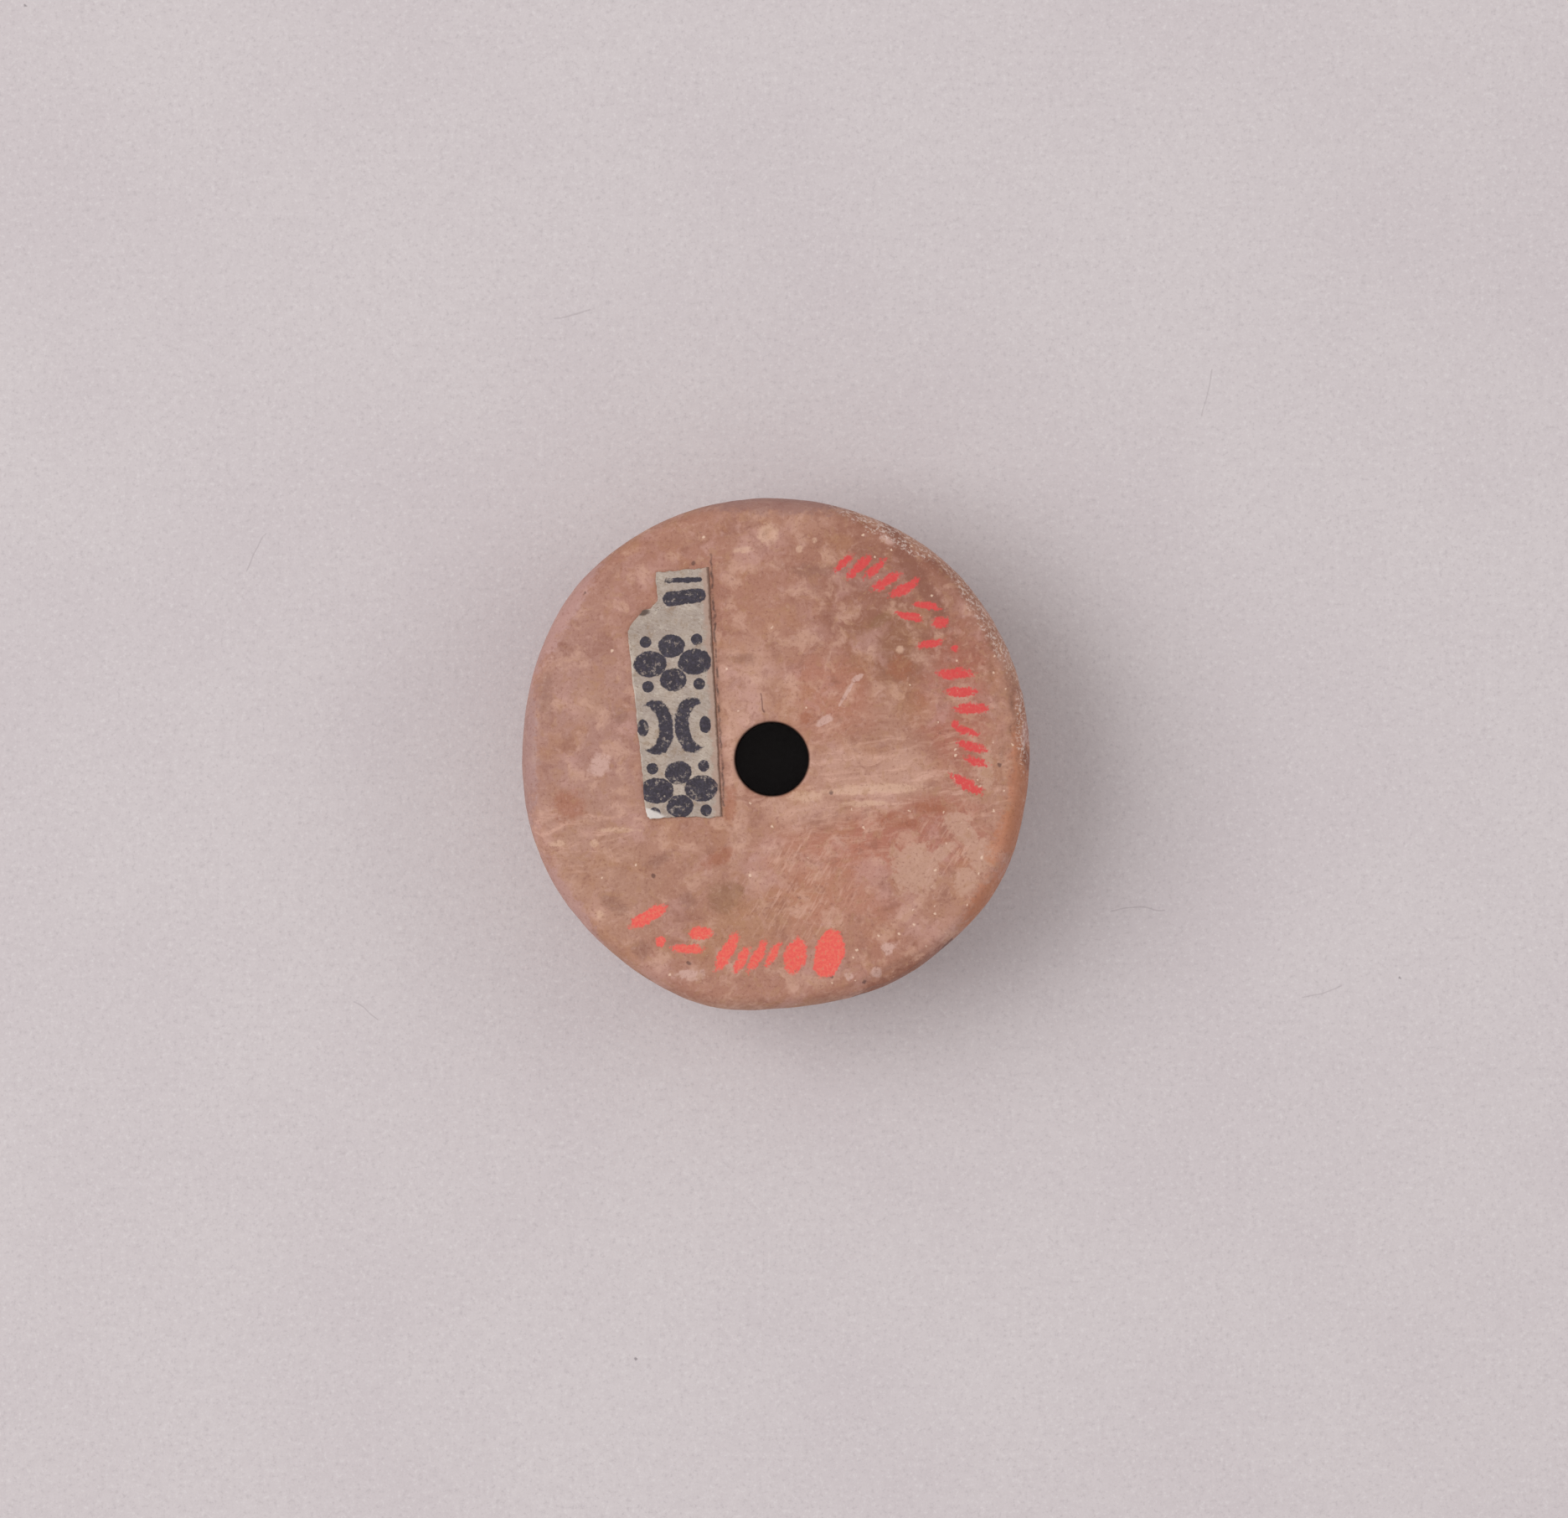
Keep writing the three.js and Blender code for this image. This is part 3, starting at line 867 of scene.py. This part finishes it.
def flat_points(x, y):
    """Points at height 0."""
    return np.stack([x, y, np.zeros_like(x)], 1)


def face_offset(x, y):
    """How far the worn face lies below or above its plane."""
    rounding = FACE_ROUNDING * np.clip(np.hypot(x, y) / FACE_RADIUS, 0, 1) ** 4
    return FACE_WAVE * clouds(flat_points(x, y), 0.28, 1) - rounding


def swelling(place, centre, width):
    """A smooth bump, 1 at its centre."""
    return np.exp(-(((place - centre) / width) ** 2))


def press_pits(points, top, rng):
    """Small craters in the face, each with a low ring round it."""
    near_top = points[:, 2] > top - 0.5
    inner, outer = PITTED_RADII
    radii = np.sqrt(rng.uniform(inner**2, outer**2, PIT_COUNT))
    turns = rng.uniform(0, 2 * math.pi, PIT_COUNT)
    sizes = rng.uniform(*PIT_SIZES, PIT_COUNT)
    scattered = [
        (r * math.cos(turn), r * math.sin(turn), size, size * PIT_DEPTH)
        for r, turn, size in zip(radii, turns, sizes)
    ]
    for x, y, radius, depth in (*PITS, *scattered):
        away = np.hypot(points[:, 0] - x, points[:, 1] - y) / radius
        crater = -depth * swelling(away, 0, 0.75) + 0.35 * depth * swelling(away, 1.3, 0.35)
        points[:, 2] += np.where(near_top, crater, 0)


def bite_chips(points, size):
    """Chips out of the rim: points inside an ellipsoid move out to its surface."""
    rim, top = size.rim_diameter / MM / 2, size.height / MM
    for degrees, across, along, outside in CHIPS:
        turn = math.radians(degrees)
        out = np.array([math.cos(turn), math.sin(turn), 0])
        side = np.array([-out[1], out[0], 0])
        edge = rim - shaved_depth(np.array([float(degrees)]))[0] + outside
        deep = across * CHIP_DEPTH
        centre = out * edge + np.array([*RIM_CENTRE, top - CHIP_DROP])
        away = points - centre
        local = np.stack([away @ out / across, away @ side / along, away[:, 2] / deep], 1)
        reach = np.linalg.norm(local, axis=1)
        inside = (reach < 1) & (reach > 1e-6)
        pushed = local[inside] / reach[inside, None]
        points[inside] = (
            centre + np.outer(pushed[:, 0] * across, out) + np.outer(pushed[:, 1] * along, side)
            + np.outer(pushed[:, 2] * deep, (0, 0, 1))
        )


def roughen_rim(points, top):
    """The pitted, crumbled stretch of the rim at the right."""
    angle = np.degrees(np.arctan2(points[:, 1], points[:, 0]))
    radius = np.hypot(points[:, 0], points[:, 1])
    stretch = swelling(angle, *CRUMBLED_ANGLES) * np.clip((radius - 13) / 1.2, 0, 1)
    stretch *= np.clip((points[:, 2] - top + 2.2) / 0.8, 0, 1)
    crumbled = np.minimum(clouds(points, 1.5, 30), 0.1)
    points[:, 2] += 0.22 * stretch * crumbled
    points[:, :2] *= (1 + 0.14 * stretch * crumbled / np.maximum(radius, 1))[:, None]


def wear_bevel(points, size):
    """The worn bevel: a slanting plane that takes the face's edge off, a little uneven."""
    turn = size.bevel_angle
    out = np.array([math.cos(turn), math.sin(turn)])
    rim = size.rim_diameter / MM / 2 - shaved_depth(np.array([math.degrees(turn)]))[0]
    start = rim - size.bevel_width / MM
    x, y, z = points.T
    beyond = (x - RIM_CENTRE[0]) * out[0] + (y - RIM_CENTRE[1]) * out[1] - start
    uneven = 0.05 * clouds(points, 0.9, 4)
    top = size.height / MM
    plane = top - 0.02 - np.maximum(beyond, -2) * math.tan(math.radians(BEVEL_SLOPE)) + uneven
    worn = (z > top - 2) & (beyond > -0.6)
    points[:, 2] = np.where(worn, np.minimum(z, np.maximum(plane, z - 1.2)), z)


def glue_ridge(points, top, strip):
    """Hardened glue in two ridges along the strip's right edge."""
    along = np.array([-math.sin(strip.lean), math.cos(strip.lean)])
    right = np.array([math.cos(strip.lean), math.sin(strip.lean)])
    place = points[:, :2] - np.array([strip.corner_x, strip.corner_y]) / MM
    v, u = place @ along, place @ right
    length = strip.length / MM
    ends = np.clip(np.minimum(v + 0.4, length + 0.5 - v) / 0.6, 0, 1)
    flat = flat_points(points[:, 0], points[:, 1])
    ridge = 0.075 * swelling(u, 0.16, 0.13) * ends * (0.8 + 0.5 * clouds(flat, 0.9, 6))
    second = 0.04 * swelling(u, 0.85, 0.16) * ends * (0.6 + 0.6 * clouds(flat, 0.5, 8))
    points[:, 2] += np.where(points[:, 2] > top - 0.4, ridge + second, 0)


def mesh_object(name, points, faces, material):
    """A smooth shaded object from points in millimetres."""
    mesh = bpy.data.meshes.new(name)
    mesh.from_pydata((points * MM).tolist(), [], faces)
    mesh.materials.append(material)
    mesh.polygons.foreach_set("use_smooth", [True] * len(mesh.polygons))
    mesh.validate()
    mesh.update()
    piece = bpy.data.objects.new(name, mesh)
    bpy.context.scene.collection.objects.link(piece)
    return piece


def ring_faces(rings, around):
    """Quads of closed rings, each joined to the next and the last to the first."""
    faces = []
    for ring in range(rings):
        here, after = ring * around, (ring + 1) % rings * around
        for step in range(around):
            following = (step + 1) % around
            faces.append((here + step, here + following, after + following, after + step))
    return faces


class WHORL_OT_body(bpy.types.Operator):
    """Make the carved ivory body with its dome, worn face, rim and spindle hole"""

    bl_idname = "whorl.body"
    bl_label = "Ivory body"

    def execute(self, context):
        size = context.scene.whorl_body
        rng = np.random.default_rng(RANDOM_SEED)
        section = body_section(size)
        rim, hole = size.rim_diameter / MM / 2, size.hole_diameter / MM / 2
        top = size.height / MM
        degrees = np.linspace(0, 360, AROUND, endpoint=False)
        turn = np.radians(degrees)
        share = np.clip((section[:, 0] - hole) / (rim - hole), 0, 1)[:, None]
        radius = section[:, 0][:, None] - share * shaved_depth(degrees)[None]
        x = radius * np.cos(turn) + share * RIM_CENTRE[0]
        y = radius * np.sin(turn) + share * RIM_CENTRE[1]
        z = np.repeat(section[:, 1][:, None], AROUND, 1)
        points = np.stack([x, y, z], 2).reshape(-1, 3)
        bulk = np.repeat(share, AROUND, 1).reshape(-1)

        upper = np.clip((points[:, 2] - top + 1.5) / 1.2, 0, 1)
        points[:, 2] += upper * face_offset(points[:, 0], points[:, 1])
        outward = points[:, :2] / np.hypot(points[:, 0], points[:, 1])[:, None]
        swell = 0.04 + 0.05 * clouds(points, 0.22, 2) + 0.014 * clouds(points, 0.9, 3)
        side = np.clip(points[:, 2], 0, 1) * bulk
        points[:, :2] += outward * (swell * side)[:, None]
        press_pits(points, top, rng)
        glue_ridge(points, top, context.scene.whorl_strip)
        roughen_rim(points, top)
        wear_bevel(points, size)
        bite_chips(points, size)

        material = ivory_finish(context.scene.whorl_finish, top)
        faces = ring_faces(len(section), AROUND)
        body = mesh_object("ivory_whorl", points, faces, material)
        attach(body, "root")
        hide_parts("whorl")
        return {"FINISHED"}


def strip_grid(size, across, along):
    """Places of the strip's grid, seen from its lower right corner, with torn edges."""
    length, width, foot = size.length / MM, size.width / MM, size.foot_width / MM
    tear_width, tear_length = size.tear_width / MM, size.tear_length / MM
    t = np.linspace(0, 1, along + 1)
    v = t * length
    shoulder = length - tear_length - 0.85
    left = np.where(v < shoulder, foot + (width - foot) * np.clip(v / shoulder, 0, 1), width)
    slope = np.clip((v - shoulder) / 1.7, 0, 1)
    ragged = 0.22 * np.sin(slope * 9) * slope * (1 - slope)
    torn = tear_width * (0.75 * slope**1.2 + 0.25 * (slope > 0.75))
    left = np.where(v >= shoulder, width - torn + ragged, left)
    edge = flat_points(v, np.zeros_like(v))
    left = left + 0.05 * clouds(edge, 2.2, 12) + 0.04 * clouds(edge, 0.7, 13)
    right = 0.03 * clouds(edge, 1.6, 14)
    s = np.linspace(0, 1, across + 1)
    u = right[:, None] * (1 - s) - left[:, None] * s
    across_edge = flat_points(s * width, np.zeros_like(s))
    nick = 0.5 * np.clip(s - 0.72, 0, 1) * (s < 0.97)
    bottom = 0.1 * clouds(across_edge, 1.4, 15) + 0.25 * s - nick
    crown = 0.06 * clouds(across_edge, 1.5, 16) - 0.12 * s
    height = v[:, None] + (1 - t[:, None]) * bottom[None] + t[:, None] * crown[None]
    return u, height


def sheet_faces(across, along):
    """Quads of a sheet's upper and lower sides and of its edge."""
    columns = across + 1
    count = columns * (along + 1)
    faces = []
    for row in range(along):
        for column in range(across):
            corner = row * columns + column
            quad = (corner, corner + columns, corner + columns + 1, corner + 1)
            faces += [quad, tuple(point + count for point in reversed(quad))]
    last = along * columns
    border = [
        *range(columns),
        *range(2 * columns - 1, last + columns, columns),
        *range(last + across - 1, last - 1, -1),
        *range(last - columns, 0, -columns),
    ]
    for here, after in zip(border, border[1:] + border[:1]):
        faces.append((here, after, after + count, here + count))
    return faces


class WHORL_OT_paper_strip(bpy.types.Operator):
    """Make the torn strip of old printed paper on the face"""

    bl_idname = "whorl.paper_strip"
    bl_label = "Paper strip"

    def execute(self, context):
        size = context.scene.whorl_strip
        top = context.scene.whorl_body.height / MM
        u, v = strip_grid(size, STRIP_ACROSS, STRIP_ALONG)
        lean = size.lean
        x = size.corner_x / MM + u * math.cos(lean) - v * math.sin(lean)
        y = size.corner_y / MM + u * math.sin(lean) + v * math.cos(lean)
        x, y, u, v = (grid.reshape(-1) for grid in (x, y, u, v))
        base = top + face_offset(x, y)
        flat = flat_points(x, y)
        wrinkle = 0.018 * clouds(flat, 0.8, 20) + 0.008 * clouds(flat, 3.0, 21)
        corner = np.clip(1 - np.hypot((u + size.foot_width / MM) / 1.5, v / 0.9), 0, 1)
        left_lift = 0.05 * np.clip((-u - size.width / MM + 0.7) / 0.7, 0, 1) ** 2
        lift = GLUE_THICKNESS + CORNER_LIFT * corner**1.5 + left_lift
        upper = base + size.thickness / MM + wrinkle + lift
        lower = base + (wrinkle + lift - GLUE_THICKNESS) * (corner > 0)
        lower = np.minimum(lower, upper - 0.6 * size.thickness / MM)
        points = np.concatenate([np.stack([x, y, upper], 1), np.stack([x, y, lower], 1)])

        faces = sheet_faces(STRIP_ACROSS, STRIP_ALONG)
        strip = mesh_object("paper_label_strip", points, faces, paper_finish(size))
        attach(strip, "root")
        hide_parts("paper_strip")
        return {"FINISHED"}


# The studio, in metres: floor, lights, room and camera
FLOOR_SIZE = 3
LIGHT_DISTANCE = 1.6
ROOM_TONE = (1.0, 0.985, 0.99, 1)
ROOM_STRENGTH = 0.595
SENSOR_WIDTH = 36  # millimetres
NEAREST, FARTHEST = 0.01, 10

# Lights: name, where they stand round the whorl and above it in degrees, size, power, colour
LIGHTS = (
    ("window_light", 169, 51.5, 1.06, 12.6, (1.0, 0.985, 0.99)),
    ("second_light", 15, 42, 0.6, 1.7, (1.0, 0.98, 0.97)),
)


def soft_light(name, degrees, elevation, size, power, colour):
    """A square soft light that points at the whorl."""
    data = bpy.data.lights.new(name, "AREA")
    data.shape = "SQUARE"
    data.size = size
    data.energy = power
    data.color = colour
    light = bpy.data.objects.new(name, data)
    turn, rise = math.radians(degrees), math.radians(elevation)
    level = math.cos(rise)
    away = Vector((math.cos(turn) * level, math.sin(turn) * level, math.sin(rise)))
    light.location = away * LIGHT_DISTANCE
    light.rotation_euler = (-away).to_track_quat("-Z", "Y").to_euler()
    bpy.context.scene.collection.objects.link(light)


class WHORL_OT_stage(bpy.types.Operator):
    """Make the pale floor, the soft lights and the camera that looks straight down"""

    bl_idname = "whorl.stage"
    bl_label = "Floor, lights and camera"

    def execute(self, context):
        scene, studio = context.scene, context.scene.whorl_studio
        bpy.ops.mesh.primitive_plane_add(size=FLOOR_SIZE, location=(0, 0, 0))
        floor = context.object
        floor.name = "pale_floor"
        floor.data.materials.append(floor_finish(studio))

        for light in LIGHTS:
            soft_light(*light)

        world = bpy.data.worlds.new("room_light")
        world.use_nodes = True
        room = world.node_tree.nodes["Background"].inputs
        room["Color"].default_value = ROOM_TONE
        room["Strength"].default_value = ROOM_STRENGTH
        scene.world = world
        scene.view_settings.view_transform = "Standard"
        scene.view_settings.look = "None"

        data = bpy.data.cameras.new("camera_above")
        data.sensor_width = SENSOR_WIDTH
        data.lens = SENSOR_WIDTH * studio.distance / studio.view_width
        data.clip_start, data.clip_end = NEAREST, FARTHEST
        camera = bpy.data.objects.new("camera_above", data)
        height = scene.whorl_body.height + studio.distance
        camera.location = (studio.view_x, studio.view_y, height)
        scene.collection.objects.link(camera)
        scene.camera = camera
        return {"FINISHED"}


class WHORL_PT_sidebar(bpy.types.Panel):
    """Lists the parts of the spindle whorl"""

    bl_label = "Ivory spindle whorl"
    bl_idname = "WHORL_PT_sidebar"
    bl_space_type = "VIEW_3D"
    bl_region_type = "UI"
    bl_category = "Whorl"

    def draw(self, context):
        for operator, group in zip((*OPERATORS, None), SETTINGS):
            box = self.layout.box()
            settings = getattr(context.scene, group)
            for name in settings.__annotations__:
                box.prop(settings, name)
            if operator:
                box.operator(operator.bl_idname)


# Groups of settings, in the order of the operators that read them; the finish has no operator
SETTINGS = {
    "whorl_body": WhorlBodySettings,
    "whorl_strip": PaperStripSettings,
    "whorl_studio": StudioSettings,
    "whorl_finish": WhorlFinishSettings,
}
OPERATORS = (WHORL_OT_body, WHORL_OT_paper_strip, WHORL_OT_stage)
CLASSES = (*SETTINGS.values(), *OPERATORS, WHORL_PT_sidebar)


def register():
    for kind in CLASSES:
        bpy.utils.register_class(kind)
    for name, kind in SETTINGS.items():
        setattr(bpy.types.Scene, name, bpy.props.PointerProperty(type=kind))


def unregister():
    for name in SETTINGS:
        delattr(bpy.types.Scene, name)
    for kind in reversed(CLASSES):
        bpy.utils.unregister_class(kind)


def main():
    register()
    bpy.ops.whorl.body()
    bpy.ops.whorl.paper_strip()
    bpy.ops.whorl.stage()


if __name__ == "__main__":
    main()
